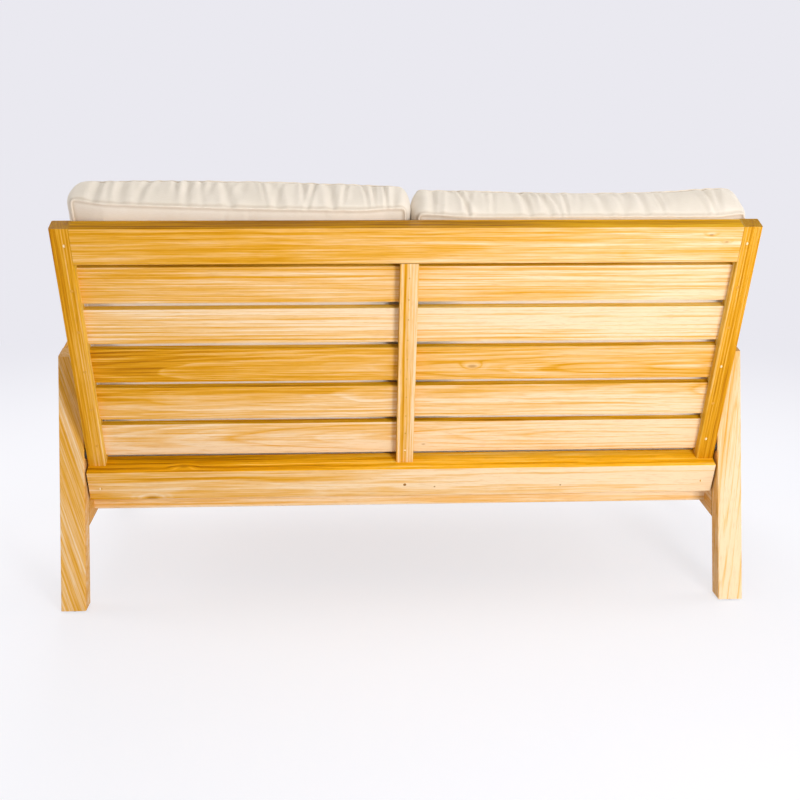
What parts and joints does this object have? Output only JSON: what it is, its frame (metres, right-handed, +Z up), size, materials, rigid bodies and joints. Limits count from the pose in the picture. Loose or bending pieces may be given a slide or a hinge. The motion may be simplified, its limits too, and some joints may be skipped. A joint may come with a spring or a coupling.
{
  "type": "garden bench",
  "caption": "Teak garden bench with a reclined slatted back, sloping arms, raked rear legs and loose seat and back cushions in cream canvas.",
  "frame": {"origin": "on the floor, under the middle of the bench's box", "axes": "+Z up, -Y the way a sitter faces, +X along the bench to the right as seen from the front"},
  "size_m": [1.4, 0.82, 0.8534],
  "materials": {
    "teak_frame": "oiled",
    "teak_back_boards": "oiled",
    "teak_seat_boards": "oiled",
    "teak_pegs": "oiled",
    "canvas": "woven cotton canvas",
    "foam": "open cell foam",
    "black_plastic": "matte",
    "grey_plastic": "matte",
    "stainless_steel": "satin",
    "brass": "satin"
  },
  "bodies": {
    "root": {"rear_leg_left": "teak_frame", "rear_leg_right": "teak_frame", "front_leg_left": "teak_frame", "front_leg_right": "teak_frame", "arm_left": "teak_frame", "arm_right": "teak_frame", "side_rail_left": "teak_frame", "side_rail_right": "teak_frame", "back_stile_left": "teak_frame", "back_stile_right": "teak_frame", "back_top_rail": "teak_frame", "back_bottom_rail": "teak_frame", "back_mullion": "teak_frame", "back_slat_1": "teak_back_boards", "back_slat_2": "teak_back_boards", "back_slat_3": "teak_back_boards", "back_slat_4": "teak_back_boards", "back_slat_5": "teak_back_boards", "front_seat_rail": "teak_seat_boards", "rear_seat_rail": "teak_seat_boards", "seat_bearer": "teak_seat_boards", "seat_cleat_left": "teak_seat_boards", "seat_cleat_right": "teak_seat_boards", "seat_slat_1": "teak_seat_boards", "seat_slat_2": "teak_seat_boards", "seat_slat_3": "teak_seat_boards", "seat_slat_4": "teak_seat_boards", "seat_slat_5": "teak_seat_boards", "seat_slat_6": "teak_seat_boards", "side_frame_pegs": "teak_pegs", "back_frame_pegs": "teak_pegs", "bolt_plugs": "teak_pegs", "foot_glides": "black_plastic", "bolt_spacers": "grey_plastic", "back_bolts": "stainless_steel", "mullion_nails": "stainless_steel", "seat_screws": "stainless_steel", "cleat_screws": "stainless_steel", "bolt_inserts": "brass"},
    "seat_cushion_left": {"seat_cushion_cover_left": "canvas", "seat_cushion_foam_left": "foam"},
    "seat_cushion_right": {"seat_cushion_cover_right": "canvas", "seat_cushion_foam_right": "foam"},
    "back_cushion_left": {"back_cushion_cover_left": "canvas", "back_cushion_foam_left": "foam"},
    "back_cushion_right": {"back_cushion_cover_right": "canvas", "back_cushion_foam_right": "foam"}
  },
  "joints": [
    {"name": "seat_cushion_left_slide", "type": "slide", "parent": "root", "child": "seat_cushion_left", "axis": [0, -0.9986, 0.0523], "range_m": [0, 0.6]},
    {"name": "back_cushion_left_lift", "type": "slide", "parent": "root", "child": "back_cushion_left", "axis": [0, 0.342, 0.9397], "range_m": [0, 0.45]},
    {"name": "seat_cushion_right_slide", "type": "slide", "parent": "root", "child": "seat_cushion_right", "axis": [0, -0.9986, 0.0523], "range_m": [0, 0.6]},
    {"name": "back_cushion_right_lift", "type": "slide", "parent": "root", "child": "back_cushion_right", "axis": [0, 0.342, 0.9397], "range_m": [0, 0.45]}
  ]
}
